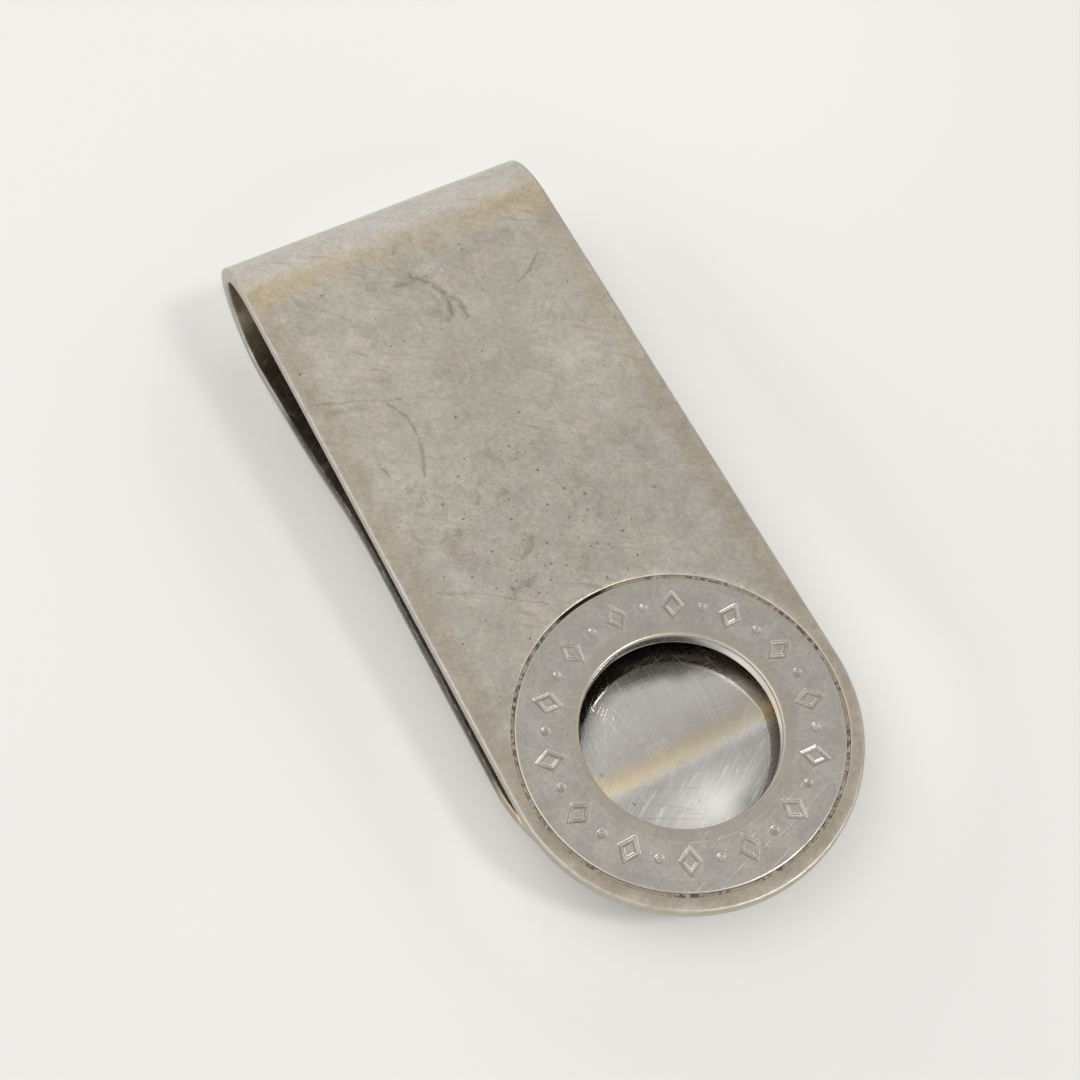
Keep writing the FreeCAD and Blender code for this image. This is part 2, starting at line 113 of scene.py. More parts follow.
def s_of_back_y(y):
    lo, hi = KNOTS[6][0], KNOTS[9][0] + 9.5
    for _ in range(50):
        mid = (lo + hi) / 2
        if on_line(mid)[0] > y:
            lo = mid
        else:
            hi = mid
    return (lo + hi) / 2


def wave(x, s):
    """The sheet isn't dead flat: a few hundredths of a millimetre, none at the ring."""
    t = min(1.0, max(0.0, (s - 10.5) / 6.0))
    n = noise.noise(Vector((x * 0.12, s * 0.09, 3.7))) + 0.35 * noise.noise(Vector((x * 0.3, s * 0.26, 9.1)))
    return 0.035 * n * t * t * (3 - 2 * t)


def ease(v, a, b):
    t = min(1.0, max(0.0, (v - a) / (b - a)))
    return t * t * (3 - 2 * t)


def place(x, s, d):
    """A point of the strip in the leaf frame. The fold was made a degree askew: its left
    end lies a little further out than its right end."""
    y, z, h = on_line(s)
    d = d + wave(x, s)
    askew = 0.40 * (HALF_W - x) / (2 * HALF_W) * ease(s, 22.0, 40.0) * (1 - ease(s, 50.0, 68.0))
    return Vector((x, y + d * math.sin(h) + askew, z + d * math.cos(h)))


class Sheet:
    """Collects one closed piece of the strip in (x, s, d) and turns it into a mesh."""

    def __init__(self, name):
        self.name = name
        self.bm = bmesh.new()
        self.co = self.bm.verts.layers.float_vector.new("leafco")
        self.edge = self.bm.verts.layers.float.new("edgew")

    def v(self, x, s, d, edge=0.0):
        vert = self.bm.verts.new(place(x, s, d))
        vert[self.co] = (x, s, d)
        vert[self.edge] = edge
        return vert

    def skin(self, loops, closed=False):
        for a, b in zip(loops, loops[1:]):
            n = len(a)
            for i in range(n if closed else n - 1):
                j = (i + 1) % n
                self.bm.faces.new((a[i], a[j], b[j], b[i]))

    def fill(self, boundary, holes, d, step, inside):
        """Fills a flat region with a regular grid of triangles that meets its boundary."""
        pts, edges = [], []
        for ring in [boundary] + holes:
            base = len(pts)
            pts += [Vector(p) for p in ring]
            edges += [(base + i, base + (i + 1) % len(ring)) for i in range(len(ring))]
        xs = [p[0] for p in boundary]
        ss = [p[1] for p in boundary]
        rim = np.array([(p[0], p[1]) for p in pts])
        rowno = 0
        s = min(ss) + step * 0.5
        while s < max(ss):
            row_x = np.arange(min(xs) + step * (0.5 if rowno % 2 else 1.0), max(xs), step)
            near = np.hypot(rim[:, 0][None, :] - row_x[:, None], rim[:, 1][None, :] - s).min(1)
            pts += [Vector((x, s)) for x, g in zip(row_x, near) if g > step * 0.42 and inside(x, s)]
            s += step * 0.866
            rowno += 1
        vs, _, fs, _, _, _ = geometry.delaunay_2d_cdt(pts, edges, [], 0, 1e-7, True)
        made = [self.v(p[0], p[1], d) for p in vs]
        for f in fs:
            cx = sum(vs[i][0] for i in f) / len(f)
            cs = sum(vs[i][1] for i in f) / len(f)
            if inside(cx, cs):
                self.bm.faces.new([made[i] for i in f])

    def done(self, sharp=38.0):
        bm = self.bm
        bmesh.ops.remove_doubles(bm, verts=bm.verts, dist=1e-4)
        for f in [f for f in bm.faces if f.calc_area() < 1e-9]:
            bm.faces.remove(f)
        bmesh.ops.recalc_face_normals(bm, faces=bm.faces)
        open_edges = sum(1 for e in bm.edges if len(e.link_faces) != 2)
        if open_edges:
            raise RuntimeError("%s has %d open edges" % (self.name, open_edges))
        me = bpy.data.meshes.new(self.name)
        bm.to_mesh(me)
        bm.free()
        me.transform(LEAF @ Matrix.Scale(MM, 4))
        for p in me.polygons:
            p.use_smooth = True
        me.set_sharp_from_angle(angle=math.radians(sharp))
        ob = bpy.data.objects.new(self.name, me)
        bpy.context.scene.collection.objects.link(ob)
        return ob


def rounding(n=6):
    """(inset, d, edge weight) from the outer face round the edge to the inner face."""
    out = [(ROUND + 0.12, HALF_T, 0.0), (ROUND + 0.02, HALF_T, 0.15)]
    for i in range(1, n + 1):
        a = math.pi / 2 * i / n
        out.append((ROUND * (1 - math.sin(a)), HALF_T - ROUND + ROUND * math.cos(a), 1.0))
    low = [(inset, -d, w) for inset, d, w in reversed(out)]
    return out + low


PROFILE = rounding()
LAST = len(PROFILE) - 1


def leaf_piece(name, chain, end_s, inside, hole=None, step=0.42):
    """A leaf: an outline open at end_s, rounded all round, flat faces above and below."""
    sh = Sheet(name)
    loops = []
    for inset, d, w in PROFILE:
        loops.append([sh.v(x - nx * inset, s - ns * inset, d, w) for x, s, nx, ns in chain])
    sh.skin(loops)
    inset = PROFILE[0][0]
    flat = [(x - nx * inset, s - ns * inset) for x, s, nx, ns in chain]
    xa, xb = flat[-1][0], flat[0][0]
    n = max(2, int(abs(xb - xa) / step))
    cut = [(xa + (xb - xa) * i / n, end_s) for i in range(1, n)]
    holes = []
    if hole:
        m = 300
        top = [(hole * math.cos(2 * math.pi * i / m), hole * math.sin(2 * math.pi * i / m)) for i in range(m)]
        rims = [(0.07, HALF_T), (0.03, HALF_T - 0.012), (0.0, HALF_T - 0.045), (0.0, 0.0),
                (0.0, -HALF_T + 0.07), (0.02, -HALF_T + 0.015), (0.07, -HALF_T)]
        walls = [[sh.v(x * (hole + grow) / hole, s * (hole + grow) / hole, d, 0.35 if 0.01 < grow < 0.05 else 0.0)
                  for x, s in top] for grow, d in rims]
        sh.skin(walls, closed=True)
        holes = [[(x * (hole + 0.07) / hole, s * (hole + 0.07) / hole) for x, s in top]]
    for d in (HALF_T, -HALF_T):
        sh.fill(flat + cut, holes, d, step, inside)
    # The flat end that meets the next piece.
    cap = [l[0] for l in loops]
    cap += [sh.v(x, s, -HALF_T) for x, s in reversed(cut)]
    cap += [l[-1] for l in reversed(loops)]
    cap += [sh.v(x, s, HALF_T) for x, s in cut]
    sh.bm.faces.new(cap)
    return sh.done()


def front_piece():
    chain = []
    n = 92
    for i in range(n):
        chain.append((-HALF_W, FRONT_END + (TIP_C - FRONT_END) * i / n, -1.0, 0.0))
    m = 150
    for i in range(m + 1):
        a = math.pi + math.pi * i / m
        chain.append((HALF_W * math.cos(a), TIP_C + HALF_W * math.sin(a), math.cos(a), math.sin(a)))
    for i in range(1, n + 1):
        chain.append((HALF_W, TIP_C + (FRONT_END - TIP_C) * i / n, 1.0, 0.0))
    inset = PROFILE[0][0]
    r, hole = HALF_W - inset, SEAT_R + 0.07

    def inside(x, s):
        if s > FRONT_END or math.hypot(x, s) < hole:
            return False
        return abs(x) < r if s > TIP_C else math.hypot(x, s - TIP_C) < r

    return leaf_piece("front_leaf_silver", chain, FRONT_END, inside, hole=SEAT_R)


def back_piece():
    chain = []
    s_c = s_of_back_y(BACK_TIP_C)
    n = 104
    for i in range(n):
        chain.append((-HALF_W, FOLD_END + (s_c - FOLD_END) * i / n, -1.0, 0.0))
    m = 130
    for i in range(m + 1):
        a = math.pi * i / m
        s = s_of_back_y(BACK_TIP_C - HALF_W * math.sin(a))
        chain.append((-HALF_W * math.cos(a), s, -math.cos(a), math.sin(a)))
    for i in range(1, n + 1):
        chain.append((HALF_W, s_c + (FOLD_END - s_c) * i / n, 1.0, 0.0))
    r = HALF_W - PROFILE[0][0]
    reach = s_of_back_y(BACK_TIP_C - HALF_W) - s_c

    def inside(x, s):
        if s < FOLD_END:
            return False
        if s < s_c:
            return abs(x) < r
        y = (s - s_c) / reach * HALF_W
        return math.hypot(x, y) < r

    return leaf_piece("back_leaf_silver", chain, FOLD_END, inside, step=0.34)


def fold_piece():
    sh = Sheet("fold_spring_silver")
    half = HALF_W - PROFILE[0][0]
    n = 46
    inner = [(-half + 2 * half * i / n) for i in range(1, n)]
    ringco = [(HALF_W - inset, d, w) for inset, d, w in PROFILE]             # right edge, outer to inner
    ringco += [(x, -HALF_T, 0.0) for x in reversed(inner)]
    ringco += [(-(HALF_W - inset), d, w) for inset, d, w in reversed(PROFILE)]
    ringco += [(x, HALF_T, 0.0) for x in inner]
    stations = [FRONT_END + (BEND_START - FRONT_END) * i / 6 for i in range(6)]
    stations += [BEND_START + (KNOTS[3][0] - BEND_START) * i / 84 for i in range(84)]
    stations += [KNOTS[3][0] + 2.0 * i / 5 for i in range(6)]
    loops = [[sh.v(x, s, d, w) for x, d, w in ringco] for s in stations]
    sh.skin(loops, closed=True)
    sh.bm.faces.new(loops[0])
    sh.bm.faces.new(loops[-1])
    return sh.done()


# ---------------------------------------------------------------------- ring
RING_R = 10.0
WINDOW_R = 6.12
RING_T = 1.2
MARK_R = 8.12
MARKS = 14


def step01(v, a, b):
    t = np.clip((v - a) / (b - a), 0.0, 1.0)
    return t * t * (3 - 2 * t)


def ring_piece():
    n = 1120
    th = 2 * math.pi * (np.arange(n) + 0.5) / n
    # Profile from the window's lower edge outwards, up, and back over the top.
    low = [(WINDOW_R + 0.0, -RING_T + 0.10), (WINDOW_R + 0.03, -RING_T + 0.03), (WINDOW_R + 0.10, -RING_T),
           (7.4, -RING_T), (8.8, -RING_T), (RING_R - 0.10, -RING_T), (RING_R - 0.03, -RING_T + 0.03),
           (RING_R, -RING_T + 0.10), (RING_R, -0.7), (RING_R, -0.14), (RING_R - 0.01, -0.09),
           (RING_R - 0.035, -0.04), (RING_R - 0.07, -0.012), (RING_R - 0.12, 0.0)]
    top = list(np.arange(RING_R - 0.18, 9.34, -0.06)) + list(np.arange(9.34, 6.90, -0.045))
    top += list(np.arange(6.90, WINDOW_R + 0.24, -0.07))
    top = [(float(r), 0.0) for r in top]
    rim = [(WINDOW_R + 0.17, 0.0), (WINDOW_R + 0.11, -0.012), (WINDOW_R + 0.06, -0.04), (WINDOW_R + 0.025, -0.08),
           (WINDOW_R + 0.006, -0.13), (WINDOW_R, -0.20), (WINDOW_R, -0.55), (WINDOW_R, -0.85)]
    prof = low + top + rim
    rr = np.array([p[0] for p in prof])[:, None] + 0 * th[None, :]
    zz = np.array([p[1] for p in prof])[:, None] + 0 * th[None, :]
    is_top = np.zeros(len(prof), bool)
    is_top[len(low):len(low) + len(top)] = True
    # Engraving: open lozenges with a dot between each two.
    cut = np.zeros_like(rr)
    pitch = 2 * math.pi / MARKS
    for shift, kind in ((0.0, "lozenge"), (0.5, "dot")):
        a = np.mod(th - math.pi / 2 - shift * pitch + pitch / 2, pitch) - pitch / 2
        u = rr * a[None, :]
        v = rr - MARK_R
        if kind == "lozenge":
            ha, hb = 0.70, 0.96
            k = ha * hb / math.hypot(ha, hb)
            dist = (np.abs(u) / ha + np.abs(v) / hb - 1.0) * k
            cut = np.maximum(cut, step01(-dist, -0.03, 0.07) * (1 - step01(-dist, 0.20, 0.30)))
        else:
            q = np.hypot(u, v)
            cut = np.maximum(cut, 1 - step01(q, 0.17, 0.29))
    band = step01(rr, 6.93, 7.01) * (1 - step01(rr, 9.27, 9.35))
    # The border is worn: its depth isn't the same all round.
    worn = 1.0 + 0.22 * np.sin(th * 2 + 0.8) + 0.12 * np.sin(th * 5 + 2.0)
    drop = 0.008 * band + 0.075 * cut * worn[None, :]
    zz = zz - np.where(is_top[:, None], drop, 0.0)
    xx, yy = rr * np.cos(th)[None, :], rr * np.sin(th)[None, :]
    m = len(prof)
    co = np.stack([xx, yy, zz], -1).reshape(-1, 3)
    faces = []
    for i in range(m):
        j = (i + 1) % m
        a0, b0 = i * n, j * n
        for k in range(n):
            k2 = (k + 1) % n
            faces.append((a0 + k, a0 + k2, b0 + k2, b0 + k))
    me = bpy.data.meshes.new("window_ring_silver")
    me.from_pydata([tuple(c) for c in co], [], faces)
    for name, data in (("engraved", np.where(is_top[:, None], cut, 0.0).reshape(-1)),):
        at = me.attributes.new(name, "FLOAT", "POINT")
        at.data.foreach_set("value", data.astype(np.float32))
    at = me.attributes.new("leafco", "FLOAT_VECTOR", "POINT")
    at.data.foreach_set("vector", co.astype(np.float32).reshape(-1))
    bm = bmesh.new()
    bm.from_mesh(me)
    bmesh.ops.recalc_face_normals(bm, faces=bm.faces)
    bm.to_mesh(me)
    bm.free()
    me.transform(LEAF @ Matrix.Scale(MM, 4))
    for p in me.polygons:
        p.use_smooth = True
    me.set_sharp_from_angle(angle=math.radians(75))
    ob = bpy.data.objects.new("window_ring_silver", me)
    bpy.context.scene.collection.objects.link(ob)
    return ob


# ------------------------------------------------------------ painted tones
LATTICE = np.random.RandomState(20).rand(64, 64, 64)


def vnoise(x, y, z):
    """Smooth value noise in 0..1 on arrays."""
    xi, yi, zi = np.floor(x), np.floor(y), np.floor(z)
    fx, fy, fz = x - xi, y - yi, z - zi
    fx, fy, fz = (f * f * (3 - 2 * f) for f in (fx, fy, fz))
    xi, yi, zi = (v.astype(int) % 64 for v in (xi, yi, zi))
    out = 0.0
    for dx in (0, 1):
        for dy in (0, 1):
            for dz in (0, 1):
                w = (fx if dx else 1 - fx) * (fy if dy else 1 - fy) * (fz if dz else 1 - fz)
                out = out + w * LATTICE[(xi + dx) % 64, (yi + dy) % 64, (zi + dz) % 64]
    return out


def cloud(x, y, scale, seed, octaves=4, rough=0.55):
    total, amp, norm = 0.0, 1.0, 0.0
    for o in range(octaves):
        f = scale * 2.03 ** o
        total = total + amp * vnoise(x * f + seed * 3.1 + o * 7.7, y * f - seed * 5.3 + o * 3.3, np.full_like(x, seed * 1.37 + o))
        norm += amp
        amp *= rough
    return total / norm


def blend_to(base, amount, colour):
    return base + (np.array(colour)[None, :] - base) * amount[:, None]


def paint(ob):
    """Base tones of the strip: grey patches, tan fringe, yellow bands, polish of the inner face, and painted shade,
    painted light and painted warm reflections.
    """
    me = ob.data
    n = len(me.vertices)
    co = np.zeros(n * 3, np.float32)
    me.attributes["leafco"].data.foreach_get("vector", co)
    co = co.reshape(-1, 3).astype(float)
    edge = np.zeros(n, np.float32)
    me.attributes["edgew"].data.foreach_get("value", edge)
    x, s, d = co[:, 0], co[:, 1], co[:, 2]
    side = 40.0 * (d < 0)
    outer = step01(d, -0.1, 0.1)
    inner = 1 - outer
    ax = np.abs(x)
    big = cloud(x + side, s, 0.16, 1.0)
    mid = cloud(x + side, s, 0.45, 2.0, 5)
    hue = cloud(x + side, s, 0.2, 3.0)
    base = np.tile(np.array((0.588, 0.545, 0.478)), (n, 1))
    base = blend_to(base, step01(0.6 * big + 0.4 * mid, 0.36, 0.64), (0.675, 0.626, 0.556))
    base = blend_to(base, 0.35 * step01(hue, 0.45, 0.62), (0.632, 0.605, 0.530))
    warm = np.clip((cloud(x + side, s, 0.42, 9.0, 5, 0.62) - 0.5) / 0.16, -1.0, 1.0)
    base = base * (1 + warm[:, None] * np.array((0.021, -0.005, 0.004))[None, :])
    # tan fringe inside the long edges and round the tip: tarnish together with a painted warm reflection of the
    # worn-down edges
    out_by = np.where(s < TIP_C, np.hypot(x, s - TIP_C), ax)
    rag = out_by + 1.8 * (cloud(x + side, s, 0.7, 4.0, 4) - 0.5)
    fringe = step01(rag, 8.8, 9.9) * (1 - 0.7 * step01(rag, 10.5, 11.2))
    base = blend_to(base, (0.62 + 0.18 * step01(TIP_C - s, 0.0, 2.0)) * fringe, (0.548, 0.475, 0.375))
    # yellow band where the sheet starts to bend: tarnish together with a painted warm reflection where the surface
    # turns
    wob = s + 1.8 * (cloud(x, s, 0.35, 5.0, 4) - 0.5)
    band = step01(wob, 37.0, 38.1) * (1 - step01(wob, 38.9, 40.3)) * outer
    base = blend_to(base, band * (0.50 + 0.45 * step01(ax, 3.0, 10.0)), (0.69, 0.592, 0.41))
    bend = step01(s, 39.4, 41.2) * (1 - step01(s, 52.0, 56.0)) * outer
    base = blend_to(base, 0.75 * bend, (0.570, 0.548, 0.510))
    # painted shade and light: the front leaf's outer face is darker towards the tip and lighter on its right side
    level = 1 - 0.105 * step01(26.0 - s, 0.0, 14.0) + 0.085 * step01(x, 2.0, 9.0) * step01(s, 18.0, 27.0)
    base = base * (1 + (level - 1) * outer * (s < 36.0))[:, None]
    # inside the loop the sheet is dull and yellow, under the window it is bright
    polish = inner * step01(s, 74.0, 79.0)
    streak = vnoise(x * 2.6 + 0.1 * s, s * 0.16, np.full_like(x, 5.5))
    at3 = np.zeros(n * 3, np.float32)
    me.vertices.foreach_get("co", at3)
    back = np.array(LEAF.inverted())
    at3 = (at3.reshape(-1, 3).astype(float) @ back[:3, :3].T + back[:3, 3]) * 1000.0
    px, py = at3[:, 0] + 0.28 * at3[:, 2], at3[:, 1] + 0.27 * at3[:, 2]      # where it lies under the window
    # past the crease the polished face is painted darker, with a painted highlight spot in the lower part of the window
    past = step01(s, CREASE + 0.8, CREASE + 1.8)
    lit = 0.80 - past * (0.28 - 0.52 * np.exp(-((px + 0.5) / 2.8) ** 2 - ((py + 5.1) / 1.8) ** 2))
    mirror = np.array((0.72, 0.695, 0.665))[None, :] + streak[:, None] * np.array((0.08, 0.08, 0.08))[None, :]
    mirror = mirror * lit[:, None]
    base = base + (mirror - base) * polish[:, None]
    # painted shadow and dark reflection of the ring's underside: a dark arc on the polished face under the window's rim
    # on the fold side
    turn = np.degrees(np.arctan2(py, px)) % 360.0
    far = np.hypot(px, py) / 6.12 + 0.08 * (cloud(x, s, 0.9, 8.0, 3) - 0.5)
    at_deg = (0, 20, 40, 60, 80, 100, 120, 140, 165, 180, 268, 282, 300, 325, 345, 360)
    line = np.interp(turn, at_deg, (0.95, 0.94, 0.75, 0.675, 0.685, 0.715, 0.85, 0.96, 1.02, 1.02, 1.04, 1.02, 1.0, 1.0, 0.97, 0.95))
    most = np.interp(turn, at_deg, (0.45, 0.70, 0.60, 0.86, 0.90, 0.92, 0.72, 0.62, 0.12, 0.0, 0.0, 0.46, 0.42, 0.10, 0.25, 0.45))
    rim = most * step01(far, line - 0.20, line - 0.02) * (1 - step01(far, line + 0.03, line + 0.16)) * polish
    base = blend_to(base, rim, (0.045, 0.039, 0.030))
    # painted shade: the loop's inside is darkened nearly to black, with painted light in tan where it opens; the inner
    # faces along the long edges get the same painted shade
    loop_in = inner * (1 - step01(s, 58.0, 73.0)) * step01(s, 34.0, 42.0)
    base = blend_to(base, 0.85 * loop_in, (0.135, 0.118, 0.092))
    mouth = inner * step01(s, 40.0, 44.0) * (1 - step01(s, 48.0, 54.0)) * step01(ax, 4.0, 9.5)
    base = blend_to(base, 0.90 * mouth, (0.72, 0.63, 0.47))
    painted_shading = inner * step01(ax + 1.2 * (cloud(x + side, s, 0.8, 6.0, 3) - 0.5), 8.3, 9.9)
    painted_shading = painted_shading * (1 - mouth)
    base = blend_to(base, 0.85 * painted_shading, (0.105, 0.092, 0.072))
    polish = polish * (1 - painted_shading)
    # painted shade on the back leaf's long edges, darkest on the side that faces the front leaf
    low = step01(s, 57.0, 60.0) * edge
    base = blend_to(base, 0.94 * low * (1 - step01(d, -0.40, 0.45)), (0.030, 0.026, 0.020))
    base = blend_to(base, 0.94 * low * step01(d, -0.40, 0.45), (0.125, 0.107, 0.084))
    # tan on the edges before the crease: tarnish together with a painted warm reflection
    tan = step01(s, CREASE - 3.6, CREASE - 1.4) * (1 - 0.55 * step01(s, CREASE + 1.0, CREASE + 3.0)) * edge
    base = blend_to(base, 0.90 * tan, (0.50, 0.405, 0.28))
    edge = edge * (1 - 0.9 * step01(s, 56.0, 60.0))
    rgba = np.concatenate([base, np.ones((n, 1))], 1)
    at = me.attributes.new("tint", "FLOAT_COLOR", "POINT")
    at.data.foreach_set("color", rgba.astype(np.float32).reshape(-1))
    patch = np.hypot((x + 2.2) * 0.145, (s - 16.0) * 0.118) + 0.55 * (cloud(x, s, 0.5, 7.0, 3) - 0.5)
    pitty = 1.0 - 0.94 * step01(patch, 0.35, 1.20)
    pitty = pitty * (1 - edge) * (1 - 0.6 * polish)
    at = me.attributes.new("wear", "FLOAT_VECTOR", "POINT")
    at.data.foreach_set("vector", np.stack([polish, pitty, edge], 1).astype(np.float32).reshape(-1))


SCRATCHES = (
    ([(-6.0, 27.9), (-5.25, 26.3), (-5.3, 24.6), (-5.75, 23.1), (-6.2, 22.2)], 0.20, 0.74),
    ([(-10.6, 29.9), (-9.3, 29.4), (-7.5, 28.8), (-6.1, 28.1), (-5.1, 27.9)], 0.15, 0.52),
    ([(-9.9, 28.7), (-8.6, 28.6), (-7.4, 28.2)], 0.42, 0.42),
    ([(-2.8, 15.1), (-3.25, 13.7), (-4.1, 11.5)], 0.12, 0.56),
    ([(-9.2, 14.5), (-6.7, 13.3), (-4.7, 11.8), (-2.7, 10.4)], 0.11, 0.52),
    ([(8.1, 34.0), (7.0, 33.0), (5.85, 32.55)], 0.16, 0.62),
    ([(3.4, 24.0), (3.7, 22.5), (3.75, 20.9)], 0.10, 0.30),
    ([(2.1, 36.8), (3.2, 34.5), (3.8, 32.0)], 0.11, 0.32),
    ([(-0.4, 35.9), (0.6, 34.9), (1.0, 33.7), (0.9, 32.5), (0.4, 31.8)], 0.40, 0.85),
    ([(0.6, 34.6), (1.6, 33.0), (1.7, 31.5)], 0.30, 0.78),
    ([(-1.6, 35.6), (-0.3, 35.5), (0.9, 35.4)], 0.50, 0.66),
    ([(0.1, 34.4), (0.3, 33.2), (0.0, 32.0)], 0.45, 0.40),
    ([(-9.5, 34.6), (-7.6, 32.9), (-6.3, 31.9)], 0.10, 0.30),
    ([(-8.45, 24.1), (-8.2, 23.2)], 0.22, 0.72),
    ([(7.0, 19.6), (5.0, 16.8), (3.9, 14.8), (3.0, 12.9)], 0.10, 0.30),
    ([(2.6, 13.9), (3.9, 14.8), (4.9, 15.5)], 0.11, 0.24),
    ([(0.5, 10.6), (3.0, 10.9), (4.1, 11.3)], 0.10, 0.24),
)

# ----------------------------------------------------------------- materials
class Tree:
    """A small helper that writes shader nodes."""

    def __init__(self, name):
        self.mat = bpy.data.materials.new(name)
        self.mat.use_nodes = True
        self.nt = self.mat.node_tree
        self.nt.nodes.clear()
        self.out = self.nt.nodes.new("ShaderNodeOutputMaterial")
        self.bsdf = self.nt.nodes.new("ShaderNodeBsdfPrincipled")
        self.nt.links.new(self.bsdf.outputs[0], self.out.inputs[0])

    def put(self, socket, value):
        if isinstance(value, bpy.types.NodeSocket):
            self.nt.links.new(value, socket)
        elif isinstance(value, (tuple, list)) and socket.type == "RGBA" and len(value) == 3:
            socket.default_value = (*value, 1.0)
        else:
            socket.default_value = value

    def math(self, op, a, b=0.0, c=None, clamp=False):
        n = self.nt.nodes.new("ShaderNodeMath")
        n.operation = op
        n.use_clamp = clamp
        self.put(n.inputs[0], a)
        self.put(n.inputs[1], b)
        if c is not None:
            self.put(n.inputs[2], c)
        return n.outputs[0]

    def vec(self, op, a, b=None, scale=None):
        n = self.nt.nodes.new("ShaderNodeVectorMath")
        n.operation = op
        self.put(n.inputs[0], a)
        if b is not None:
            self.put(n.inputs[1], b)
        if scale is not None:
            self.put(n.inputs[3], scale)
        return n.outputs["Value"] if op in ("LENGTH", "DOT_PRODUCT", "DISTANCE") else n.outputs[0]

    def attribute(self, name):
        n = self.nt.nodes.new("ShaderNodeAttribute")
        n.attribute_name = name
        return n

    def split(self, v):
        n = self.nt.nodes.new("ShaderNodeSeparateXYZ")
        self.put(n.inputs[0], v)
        return n.outputs[0], n.outputs[1], n.outputs[2]

    def join(self, x, y, z):
        n = self.nt.nodes.new("ShaderNodeCombineXYZ")
        for i, c in enumerate((x, y, z)):
            self.put(n.inputs[i], c)
        return n.outputs[0]

    def noise(self, v, scale, detail=4.0, rough=0.55, warp=0.0):
        n = self.nt.nodes.new("ShaderNodeTexNoise")
        self.put(n.inputs["Vector"], v)
        n.inputs["Scale"].default_value = scale
        n.inputs["Detail"].default_value = detail
        n.inputs["Roughness"].default_value = rough
        n.inputs["Distortion"].default_value = warp
        return n.outputs[0]

    def voronoi(self, v, scale, rand=1.0):
        n = self.nt.nodes.new("ShaderNodeTexVoronoi")
        self.put(n.inputs["Vector"], v)
        n.inputs["Scale"].default_value = scale
        n.inputs["Randomness"].default_value = rand
        return n.outputs["Distance"], n.outputs["Color"]

    def ramp(self, v, a, b, lo=0.0, hi=1.0, smooth=True):
        n = self.nt.nodes.new("ShaderNodeMapRange")
        n.interpolation_type = "SMOOTHSTEP" if smooth else "LINEAR"
        n.clamp = True if not smooth else n.clamp
        self.put(n.inputs[0], v)
        n.inputs[1].default_value = a
        n.inputs[2].default_value = b
        n.inputs[3].default_value = lo
        n.inputs[4].default_value = hi
        return n.outputs[0]

    def mix(self, f, a, b, blend="MIX"):
        n = self.nt.nodes.new("ShaderNodeMix")
        n.data_type = "RGBA"
        n.blend_type = blend
        n.clamp_factor = True
        self.put(n.inputs[0], f)
        self.put(n.inputs[6], a)
        self.put(n.inputs[7], b)
        return n.outputs[2]

    def rotated(self, v, angle, sx, sy, off):
        n = self.nt.nodes.new("ShaderNodeMapping")
        n.vector_type = "POINT"
        self.put(n.inputs["Vector"], v)
        n.inputs["Location"].default_value = off
        n.inputs["Rotation"].default_value = (0.0, 0.0, math.radians(angle))
        n.inputs["Scale"].default_value = (1.0, 1.0, 1.0)
        m = self.nt.nodes.new("ShaderNodeMapping")
        m.vector_type = "POINT"
        self.nt.links.new(n.outputs[0], m.inputs["Vector"])
        m.inputs["Scale"].default_value = (sx, sy, 1.0)
        return m.outputs[0]

    def hairlines(self, v, angles, long_scale, cross_scale, width, keep, seed):
        """Fine scratches: thin level lines of a stretched noise, in several directions,
        each kept only in patches."""
        total = None
        for i, angle in enumerate(angles):
            off = (seed * 7.3 + i * 13.1, seed * 3.1 - i * 5.7, seed * 1.7 + i * 2.9)
            p = self.rotated(v, angle, long_scale, cross_scale, off)
            n = self.noise(p, 1.0, 1.5, 0.4, 0.15)
            line = self.math("ABSOLUTE", self.math("SUBTRACT", n, 0.5))
            line = self.ramp(line, 0.0, width, 1.0, 0.0)
            q = self.rotated(v, angle, long_scale * 1.7, cross_scale * 0.14, (off[1], off[2], off[0]))
            patch = self.ramp(self.noise(q, 1.0, 2.0, 0.5), keep, keep + 0.12)
            one = self.math("MULTIPLY", line, patch)
            total = one if total is None else self.math("MAXIMUM", total, one)
        return total

    def stroke(self, x, y, points, width, wobble=None):
        """A single scratch or smudge: distance to a broken line of points, in mm."""
        best = None
        for (ax, ay), (bx, by) in zip(points, points[1:]):
            dx, dy = bx - ax, by - ay
            l2 = dx * dx + dy * dy
            px = self.math("SUBTRACT", x, ax)
            py = self.math("SUBTRACT", y, ay)
            t = self.math("MULTIPLY_ADD", px, dx / l2, self.math("MULTIPLY", py, dy / l2), clamp=True)
            ex = self.math("MULTIPLY_ADD", t, -dx, px)
            ey = self.math("MULTIPLY_ADD", t, -dy, py)
            d = self.math("SQRT", self.math("MULTIPLY_ADD", ex, ex, self.math("MULTIPLY", ey, ey)))
            best = d if best is None else self.math("MINIMUM", best, d)
        return self.ramp(best, 0.0, width, 1.0, 0.0)

    def bump(self, height, distance, strength=1.0, normal=None):
        n = self.nt.nodes.new("ShaderNodeBump")
        n.inputs["Strength"].default_value = strength
        n.inputs["Distance"].default_value = distance
        self.put(n.inputs["Height"], height)
        if normal is not None:
            self.put(n.inputs["Normal"], normal)
        return n.outputs[0]


